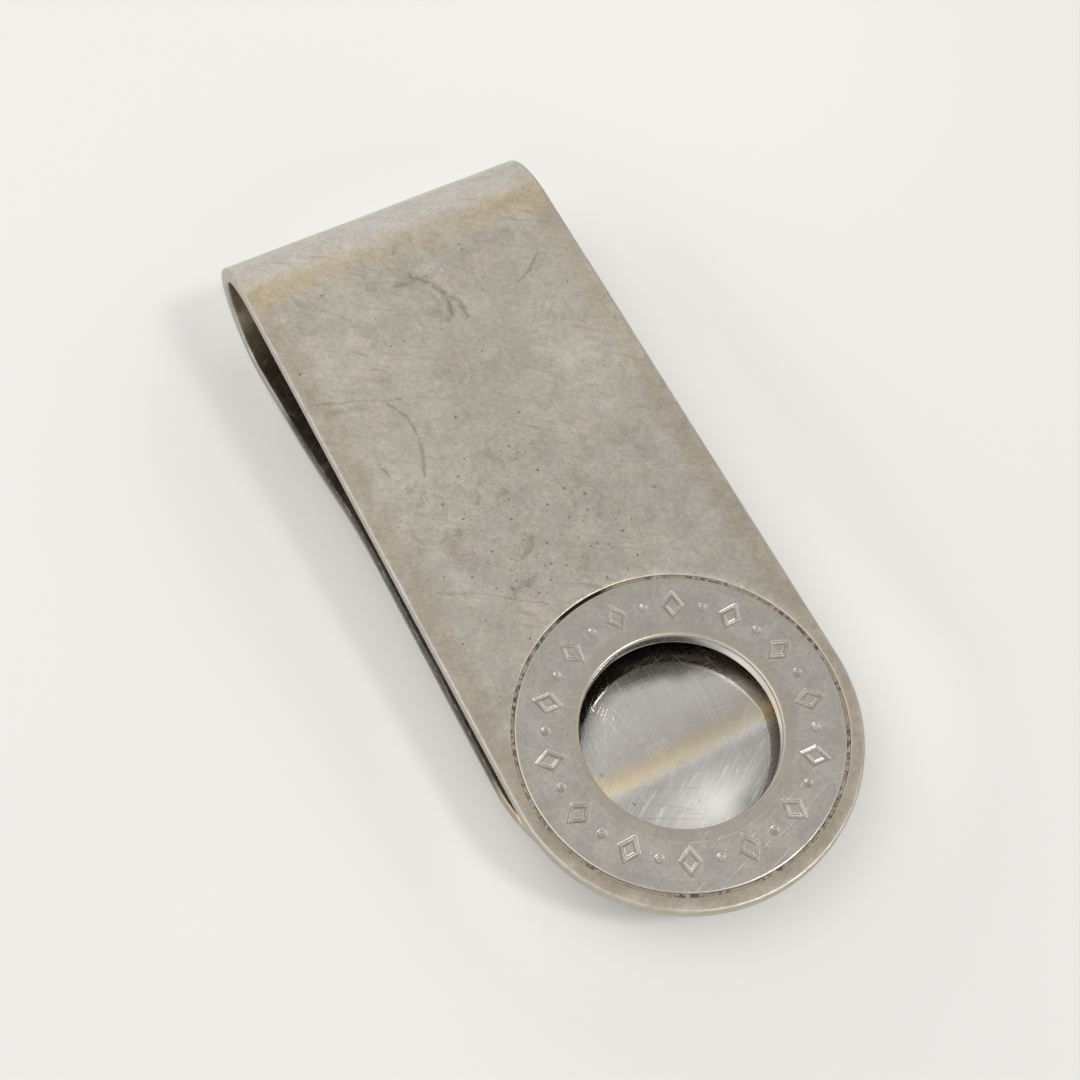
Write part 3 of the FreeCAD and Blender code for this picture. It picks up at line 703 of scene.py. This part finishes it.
def silver_strip():
    t = Tree("worn_silver_strip")
    co = t.attribute("leafco").outputs["Vector"]
    tint = t.attribute("tint").outputs["Color"]
    polish, pitty, edge = t.split(t.attribute("wear").outputs["Vector"])
    x, s, d = t.split(co)
    face = t.join(x, s, t.math("MULTIPLY", d, 14.0))      # the two faces carry different marks
    dull = t.math("MULTIPLY_ADD", polish, -0.85, 1.0)

    # Relief first: satin grain and hairlines. The bright part of the back leaf leans a little.
    hair = t.hairlines(face, (12, 67, 104, 151), 0.10, 1.6, 0.011, 0.48, 1.0)
    hair2 = t.hairlines(face, (38, 88, 173), 0.24, 3.6, 0.022, 0.48, 2.0)
    grain = t.noise(face, 7.0, 3.0, 0.6)
    lines = t.math("MULTIPLY_ADD", hair, -0.16, t.math("MULTIPLY", hair2, -0.10))
    height = t.math("MULTIPLY_ADD", t.math("MULTIPLY", grain, dull), 0.42, lines)
    height = t.math("MULTIPLY_ADD", t.math("MULTIPLY", x, polish), 10.0, height)
    t.put(t.bsdf.inputs["Normal"], t.bump(height, 0.000012, 1.0))

    # Mottling of the worn face on top of the painted tones.
    mid = t.noise(face, 0.62, 6.0, 0.62, 0.3)
    fine = t.noise(face, 3.1, 5.0, 0.65)
    tone = t.math("MULTIPLY_ADD", t.math("SUBTRACT", fine, 0.5), 0.55, mid)
    shade = t.mix(t.ramp(tone, 0.26, 0.74), (0.915, 0.910, 0.900), (1.05, 1.045, 1.04))
    base = t.mix(dull, tint, shade, "MULTIPLY")
    speck = t.ramp(t.math("MULTIPLY_ADD", t.math("SUBTRACT", fine, 0.5), 0.9, grain), 0.25, 0.75)
    base = t.mix(dull, base, t.mix(speck, (0.93, 0.925, 0.92), (1.065, 1.065, 1.065)), "MULTIPLY")
    smudge = t.ramp(t.noise(face, 0.50, 10.0, 0.80, 0.7), 0.49, 0.66)
    smudge = t.math("MULTIPLY", smudge, t.ramp(pitty, 0.1, 1.0, 0.60, 1.25, False))
    base = t.mix(t.math("MULTIPLY", t.math("MULTIPLY", smudge, dull), 0.80), base, (0.40, 0.345, 0.285))
    rub = t.noise(t.rotated(face, 38.0, 0.35, 2.6, (4.0, 2.0, 1.0)), 1.0, 6.0, 0.72, 0.4)
    rub = t.math("MULTIPLY", t.ramp(rub, 0.51, 0.68), t.ramp(mid, 0.38, 0.58))
    base = t.mix(t.math("MULTIPLY", t.math("MULTIPLY", rub, dull), 0.66), base, (0.41, 0.36, 0.30))

    # The yellow crease of the back leaf, with combed edges: tarnish together with a painted warm reflection, lighter on
    # its left, and a painted shadow band just above it on the polished face.
    comb = t.noise(t.join(t.math("MULTIPLY", x, 3.4), t.math("MULTIPLY", s, 0.22), 4.0), 1.0, 3.0, 0.62)
    cw = t.math("MULTIPLY_ADD", t.math("SUBTRACT", comb, 0.5), 1.5, s)
    crease = t.math("MULTIPLY", t.ramp(cw, CREASE - 0.65, CREASE + 0.10), t.ramp(cw, CREASE + 0.65, CREASE + 1.35, 1.0, 0.0))
    crease = t.math("MULTIPLY", t.math("MULTIPLY", crease, t.ramp(d, -0.1, 0.1, 1.0, 0.0)), t.ramp(x, -8.0, 6.5, 0.96, 0.56, False))
    crease_shadow = t.math("MULTIPLY", t.ramp(cw, CREASE - 2.6, CREASE - 0.7), t.ramp(cw, CREASE - 0.4, CREASE + 0.5, 1.0, 0.0))
    crease_shadow = t.math("MULTIPLY", t.math("MULTIPLY", crease_shadow, polish), t.ramp(x, -6.0, 2.0, 0.12, 0.34, False))
    base = t.mix(crease_shadow, base, (0.33, 0.275, 0.20))
    base = t.mix(crease, base, t.mix(t.ramp(x, -7.0, 5.0), (0.68, 0.575, 0.375), (0.52, 0.43, 0.275)))

    # Single scratches that stand out, in place.
    jit = t.vec("SCALE", t.vec("SUBTRACT", t.join(t.noise(face, 1.3, 4.0, 0.6), t.noise(face, 1.7, 4.0, 0.6), 0.5), (0.5, 0.5, 0.5)), scale=0.5)
    jx, jy, _ = t.split(t.vec("ADD", co, jit))
    strokes = None
    for pts, width, amount in SCRATCHES:
        m = t.math("MULTIPLY", t.stroke(jx, jy, pts, width), amount)
        strokes = m if strokes is None else t.math("MAXIMUM", strokes, m)
    broken = t.ramp(t.noise(face, 2.2, 4.0, 0.6), 0.34, 0.56, 0.35, 1.0)
    strokes = t.math("MULTIPLY", t.math("MULTIPLY", strokes, broken), t.ramp(d, -0.1, 0.1))
    base = t.mix(strokes, base, (0.25, 0.22, 0.175))

    base = t.mix(t.math("MULTIPLY", t.math("MULTIPLY", hair, t.ramp(fine, 0.35, 0.6)), 0.36), base, (0.33, 0.295, 0.245))
    base = t.mix(t.math("MULTIPLY", hair2, 0.20), base, (0.80, 0.76, 0.70))
    arc = t.noise(t.rotated(face, 33.0, 0.36, 5.2, (1.0, 3.0, 2.0)), 1.0, 5.0, 0.68, 0.15)
    where = t.math("MULTIPLY", t.math("MULTIPLY", polish, t.ramp(mid, 0.36, 0.56, 0.35, 1.0)), t.ramp(s, CREASE - 0.5, CREASE + 3.0, 0.12, 1.0))
    base = t.mix(t.math("MULTIPLY", t.math("MULTIPLY", where, t.ramp(arc, 0.50, 0.68)), 0.42), base, (0.90, 0.895, 0.89))
    base = t.mix(t.math("MULTIPLY", t.math("MULTIPLY", where, t.ramp(arc, 0.44, 0.30)), 0.34), base, (0.36, 0.34, 0.31))

    # Pits, thickest in one patch of the front.
    wide = t.math("MULTIPLY_ADD", fine, 0.30, -0.13)
    ragged = t.vec("ADD", face, t.vec("SCALE", t.join(grain, fine, 0.0), scale=0.30))
    dist, cell = t.voronoi(ragged, 2.1)
    cx, cy, _ = t.split(cell)
    size = t.math("MULTIPLY_ADD", t.math("MULTIPLY", cy, cy), 0.17, wide)
    pit = t.math("MULTIPLY", t.ramp(t.math("SUBTRACT", dist, size), 0.0, 0.12, 1.0, 0.0), t.math("LESS_THAN", cx, t.math("MULTIPLY", pitty, 0.84)))
    dist2, cell2 = t.voronoi(face, 3.8)
    cx2, _, _ = t.split(cell2)
    pit2 = t.math("MULTIPLY", t.ramp(t.math("SUBTRACT", dist2, wide), 0.08, 0.28, 1.0, 0.0), t.math("LESS_THAN", cx2, t.math("MULTIPLY", pitty, 0.72)))
    pits = t.math("MAXIMUM", pit, t.math("MULTIPLY", pit2, 0.70))
    base = t.mix(t.math("MULTIPLY", pits, 0.80), base, (0.20, 0.165, 0.145))

    # Bright worn edges.
    bright = t.mix(t.ramp(t.noise(face, 1.6, 6.0, 0.7), 0.36, 0.64), (0.385, 0.352, 0.302), (0.55, 0.517, 0.465))
    base = t.mix(t.math("MULTIPLY", edge, 0.80), base, bright)
    t.put(t.bsdf.inputs["Base Color"], base)
    t.bsdf.inputs["Metallic"].default_value = 1.0

    rough = t.math("MULTIPLY_ADD", t.math("SUBTRACT", tone, 0.5), 0.20, 0.31)
    rough = t.math("MULTIPLY_ADD", edge, 0.08, rough)
    rough = t.math("MULTIPLY_ADD", polish, t.math("SUBTRACT", 0.075, rough), rough)
    rough = t.math("MULTIPLY_ADD", t.math("MAXIMUM", strokes, pits), 0.25, rough, clamp=True)
    t.put(t.bsdf.inputs["Roughness"], t.math("MAXIMUM", rough, 0.05))
    return t.mat


def silver_ring():
    t = Tree("worn_silver_ring")
    co = t.attribute("leafco").outputs["Vector"]
    cut = t.attribute("engraved").outputs["Fac"]
    hair = t.hairlines(co, (20, 75, 118, 160), 0.10, 1.4, 0.007, 0.50, 4.0)
    grain = t.noise(co, 7.0, 3.0, 0.6)
    mid = t.noise(co, 0.55, 6.0, 0.62, 0.3)
    height = t.math("MULTIPLY_ADD", grain, 0.25, t.math("MULTIPLY", hair, -0.22))
    height = t.math("MULTIPLY_ADD", mid, 1.2, height)
    t.put(t.bsdf.inputs["Normal"], t.bump(height, 0.000012, 1.0))

    x, y, z = t.split(co)
    r = t.vec("LENGTH", t.join(x, y, 0.0))
    fine = t.noise(co, 3.4, 5.0, 0.65)
    tone = t.math("MULTIPLY_ADD", t.math("SUBTRACT", fine, 0.5), 0.6, mid)
    base = t.mix(t.ramp(tone, 0.3, 0.7), (0.480, 0.455, 0.413), (0.560, 0.532, 0.488))
    # tan near the window's edge and the outer edge: tarnish together with a painted warm reflection of the rounded rims
    rag = t.math("MULTIPLY_ADD", t.math("SUBTRACT", t.noise(co, 1.1, 4.0, 0.6), 0.5), 0.9, r)
    inner = t.ramp(rag, 6.8, 7.3, 1.0, 0.0)
    outer = t.ramp(rag, 9.1, 9.8)
    base = t.mix(t.math("MULTIPLY", inner, 0.65), base, (0.485, 0.435, 0.365))
    base = t.mix(t.math("MULTIPLY", outer, 0.45), base, (0.50, 0.455, 0.385))
    dirt = t.ramp(t.noise(co, 1.2, 7.0, 0.72), 0.55, 0.74)
    base = t.mix(t.math("MULTIPLY", dirt, 0.30), base, (0.37, 0.34, 0.285))
    wall = t.math("MULTIPLY", cut, t.math("SUBTRACT", 1.0, cut))
    base = t.mix(t.ramp(wall, 0.0, 0.25, 0.0, 0.62), base, (0.22, 0.19, 0.155))
    base = t.mix(t.math("MULTIPLY", t.ramp(cut, 0.5, 1.0), t.ramp(t.noise(co, 0.6, 3.0, 0.5), 0.42, 0.60, 0.15, 0.85)), base, (0.33, 0.295, 0.24))
    base = t.mix(t.math("MULTIPLY", hair, 0.24), base, (0.36, 0.33, 0.28))
    speck = t.ramp(t.math("MULTIPLY_ADD", t.math("SUBTRACT", fine, 0.5), 0.9, grain), 0.25, 0.75)
    base = t.mix(1.0, base, t.mix(speck, (0.965, 0.962, 0.96), (1.035, 1.035, 1.035)), "MULTIPLY")
    dist, cell = t.voronoi(co, 1.6)
    cx, _, _ = t.split(cell)
    pit = t.math("MULTIPLY", t.ramp(dist, 0.05, 0.13, 1.0, 0.0), t.math("GREATER_THAN", cx, 0.80))
    base = t.mix(t.math("MULTIPLY", pit, 0.6), base, (0.17, 0.15, 0.12))
    side = t.ramp(z, -0.16, -0.30)                     # the polished wall of the window, and the hidden faces
    inside = t.math("MULTIPLY", t.ramp(r, 6.15, 6.20, 1.0, 0.0), t.ramp(z, -1.17, -1.10))
    polished = t.math("MULTIPLY", side, inside)
    base = t.mix(polished, base, (0.70, 0.68, 0.65))
    # painted shading on the ring's hidden underside and lower outer wall: dark on one side, pale on the other, for how
    # it shows in the polished face below
    under = t.math("MULTIPLY", side, t.math("SUBTRACT", 1.0, inside))
    lean = t.vec("DOT_PRODUCT", co, (0.128, -0.095, 0.0))
    painted_shading = t.mix(t.ramp(lean, -0.10, 0.85), (0.15, 0.132, 0.108), (0.74, 0.70, 0.65))
    base = t.mix(t.math("MULTIPLY", under, 0.90), base, painted_shading)
    t.put(t.bsdf.inputs["Base Color"], base)
    t.bsdf.inputs["Metallic"].default_value = 1.0
    rough = t.math("MULTIPLY_ADD", t.math("SUBTRACT", mid, 0.5), 0.16, 0.27)
    rough = t.math("MULTIPLY_ADD", t.math("SUBTRACT", fine, 0.5), 0.10, rough)
    rough = t.math("MULTIPLY_ADD", cut, 0.10, rough)
    rough = t.math("MULTIPLY_ADD", polished, -0.15, rough)
    rough = t.math("MULTIPLY_ADD", pit, 0.25, rough, clamp=True)
    t.put(t.bsdf.inputs["Roughness"], t.math("MAXIMUM", rough, 0.06))
    return t.mat


def dark_solder():
    """Solder that fills the groove nearly to the brim: brown-grey, pitted, black over one short arc."""
    t = Tree("oxidised_solder")
    n = t.nt.nodes.new("ShaderNodeTexCoord")
    co = t.vec("SCALE", n.outputs["Object"], scale=1000.0)
    a = t.noise(co, 0.5, 4.0, 0.6)
    b = t.noise(co, 3.4, 4.0, 0.7)
    base = t.mix(t.ramp(b, 0.40, 0.60), (0.11, 0.095, 0.075), (0.42, 0.38, 0.32))
    base = t.mix(t.ramp(a, 0.46, 0.60), base, (0.33, 0.285, 0.215))
    cx, cy, _ = t.split(co)
    spot = t.vec("LENGTH", t.vec("SUBTRACT", t.join(cx, cy, 0.0), (-1.5, -6.9, 0.0)))
    black = t.ramp(t.math("MULTIPLY_ADD", b, 0.9, spot), 1.9, 3.1, 1.0, 0.0)
    base = t.mix(black, base, (0.012, 0.010, 0.008))
    t.put(t.bsdf.inputs["Base Color"], base)
    t.bsdf.inputs["Metallic"].default_value = 0.75
    t.put(t.bsdf.inputs["Roughness"], t.ramp(b, 0.3, 0.7, 0.42, 0.62))
    t.put(t.bsdf.inputs["Normal"], t.bump(t.math("MULTIPLY_ADD", b, 0.6, a), 0.00003, 0.8))
    return t.mat


def pale_table():
    t = Tree("pale_table")
    n = t.nt.nodes.new("ShaderNodeTexCoord")
    co = n.outputs["Object"]
    a = t.noise(co, 6.0, 3.0, 0.5)
    b = t.noise(co, 900.0, 4.0, 0.6)
    base = t.mix(t.ramp(a, 0.3, 0.7), (0.806, 0.804, 0.780), (0.824, 0.824, 0.802))
    # painted shade and light: the table's colour darkens towards one corner and varies across the middle, standing in
    # for the fall-off of the light
    far = t.ramp(t.vec("DOT_PRODUCT", co, (12.0, -14.0, 0.0)), -0.25, 0.85, 1.0, 0.85)
    px, py, _ = t.split(co)
    px = t.math("MAXIMUM", t.math("MINIMUM", px, 0.065), -0.065)
    py = t.math("MAXIMUM", t.math("MINIMUM", py, 0.065), -0.065)
    slope = t.math("MULTIPLY_ADD", px, 1.15, t.math("MULTIPLY_ADD", py, -0.18, 1.0))
    slope = t.math("MULTIPLY_ADD", t.math("MULTIPLY", px, py), -26.0, slope)
    far = t.math("MULTIPLY", far, slope)
    # Painted light: close to the clip the table's colour is a little paler, which softens the shadow round it; the
    # exposure of so pale a table hides most of a faint shadow.
    ox, oy, _ = t.split(co)
    tip = t.ramp(oy, -0.030, -0.014, 0.39, 1.0)
    end = t.ramp(oy, 0.0072, 0.0589, 1.0, 0.0)
    ay = t.math("SUBTRACT", oy, t.math("MAXIMUM", t.math("MINIMUM", oy, 0.020), -0.0167))
    ax = t.math("SUBTRACT", ox, 0.0010)
    ax = t.math("MINIMUM", ax, t.math("MULTIPLY", ax, 0.915))
    away = t.math("SQRT", t.math("MULTIPLY_ADD", ax, ax, t.math("MULTIPLY", ay, ay)))
    lift = t.ramp(away, 0.0120, 0.0190, 0.17, 0.0)
    lift = t.math("MULTIPLY_ADD", lift, t.math("MULTIPLY", tip, end), 1.0)
    far = t.math("MULTIPLY", far, lift)
    base = t.mix(1.0, base, t.join(far, far, far), "MULTIPLY")
    t.put(t.bsdf.inputs["Base Color"], base)
    t.put(t.bsdf.inputs["Roughness"], t.ramp(b, 0.3, 0.7, 0.62, 0.75))
    t.bsdf.inputs["Specular IOR Level"].default_value = 0.20
    t.put(t.bsdf.inputs["Normal"], t.bump(b, 0.00001, 0.5))
    return t.mat


# -------------------------------------------------------------- build pieces
front = front_piece()
fold = fold_piece()
back = back_piece()
ring = ring_piece()

strip_mat = silver_strip()
for ob in (front, fold, back):
    paint(ob)
    ob.data.materials.append(strip_mat)
ring.data.materials.append(silver_ring())
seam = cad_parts["solder_seam"]
seam.data.materials.clear()
seam.data.materials.append(dark_solder())

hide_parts("front_leaf")
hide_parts("back_leaf")
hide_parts("fold_spring")
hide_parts("window_ring")
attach(front, "front")
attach(ring, "front")
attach(back, "back")
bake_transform(fold)

# Each piece has to sit where its CAD node does.
for ob, node, slack in ((front, "front_leaf", 0.45), (fold, "fold_spring", 0.45), (back, "back_leaf", 0.45), (ring, "window_ring", 0.05)):
    lo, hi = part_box(node)
    co = np.array([v.co for v in ob.data.vertices])
    gap = max(np.abs(co.min(0) - np.array(lo)).max(), np.abs(co.max(0) - np.array(hi)).max())
    if gap > slack * MM:
        raise RuntimeError("%s is %.3f mm off its CAD node" % (ob.name, gap * 1000))

# --------------------------------------------------------------------- stage
bm = bmesh.new()
bmesh.ops.create_grid(bm, x_segments=8, y_segments=8, size=0.9)
me = bpy.data.meshes.new("table_top")
bm.to_mesh(me)
bm.free()
table = bpy.data.objects.new("table_top", me)
bpy.context.scene.collection.objects.link(table)
table.data.materials.append(pale_table())


def area(name, where, aim, size, power, colour):
    light = bpy.data.lights.new(name, "AREA")
    light.shape = "RECTANGLE"
    light.size, light.size_y = size
    light.energy = power
    light.color = colour
    ob = bpy.data.objects.new(name, light)
    ob.location = where
    ob.rotation_euler = (Vector(aim) - Vector(where)).to_track_quat("-Z", "Y").to_euler()
    bpy.context.scene.collection.objects.link(ob)
    return ob


KEY = Vector((0.41, -0.60, 1.0)).normalized()
area("key", KEY * 0.6, (0, 0, 0), (0.10, 0.10), 0.72, (1.0, 0.98, 0.95))

world = bpy.data.worlds.new("soft_room")
bpy.context.scene.world = world
world.use_nodes = True


def sky():
    """A bright room: a little dimmer where the worn faces look, a lamp to the left,
    the dark shape of whoever stands over the table."""
    nt = world.node_tree
    nt.nodes.clear()
    out = nt.nodes.new("ShaderNodeOutputWorld")
    bg = nt.nodes.new("ShaderNodeBackground")
    nt.links.new(bg.outputs[0], out.inputs[0])
    tc = nt.nodes.new("ShaderNodeTexCoord")
    level = None
    for toward, inner, outer, lo, hi in (
            ((0.237, 0.33, 0.92), 36.0, 14.0, 0.90, 0.62),
            ((-0.47, 0.12, 0.87), 27.0, 15.0, 0.0, 0.60),
            ((-1.0, 0.10, 0.15), 150.0, 30.0, -0.10, 0.20),
            ((-0.22, -0.48, 0.85), 20.0, 9.0, 0.0, -0.50)):
        dot = nt.nodes.new("ShaderNodeVectorMath")
        dot.operation = "DOT_PRODUCT"
        nt.links.new(tc.outputs["Generated"], dot.inputs[0])
        dot.inputs[1].default_value = Vector(toward).normalized()
        mr = nt.nodes.new("ShaderNodeMapRange")
        mr.interpolation_type = "SMOOTHSTEP"
        nt.links.new(dot.outputs["Value"], mr.inputs[0])
        mr.inputs[1].default_value = math.cos(math.radians(inner))
        mr.inputs[2].default_value = math.cos(math.radians(outer))
        mr.inputs[3].default_value = lo
        mr.inputs[4].default_value = hi
        if level is None:
            level = mr.outputs[0]
        else:
            add = nt.nodes.new("ShaderNodeMath")
            add.operation = "ADD"
            nt.links.new(level, add.inputs[0])
            nt.links.new(mr.outputs[0], add.inputs[1])
            level = add.outputs[0]
    bg.inputs[0].default_value = (1.0, 0.994, 0.985, 1.0)
    nt.links.new(level, bg.inputs[1])


sky()

# -------------------------------------------------------------------- camera
R = ((0.8849686, -0.4636482, 0.0431385),
     (-0.4008347, -0.8056583, -0.4361723),
     (0.2369854, 0.3687073, -0.8988286))
CAM_AT = (-29.1767882, -27.8114187, 104.1228322)
cam = bpy.data.cameras.new("camera")
cam.sensor_width = 36.0
cam.lens = 1854.599 / 1080.0 * 36.0
cam.clip_start = 0.005
cam.clip_end = 10.0
cam_ob = bpy.data.objects.new("camera", cam)
bpy.context.scene.collection.objects.link(cam_ob)
turn = Matrix(((R[0][0], -R[1][0], -R[2][0]),
               (R[0][1], -R[1][1], -R[2][1]),
               (R[0][2], -R[1][2], -R[2][2]))).to_4x4()
cam_ob.matrix_world = LEAF @ Matrix.Translation(Vector(CAM_AT) * MM) @ turn
bpy.context.scene.camera = cam_ob

bpy.context.scene.view_settings.view_transform = "Standard"
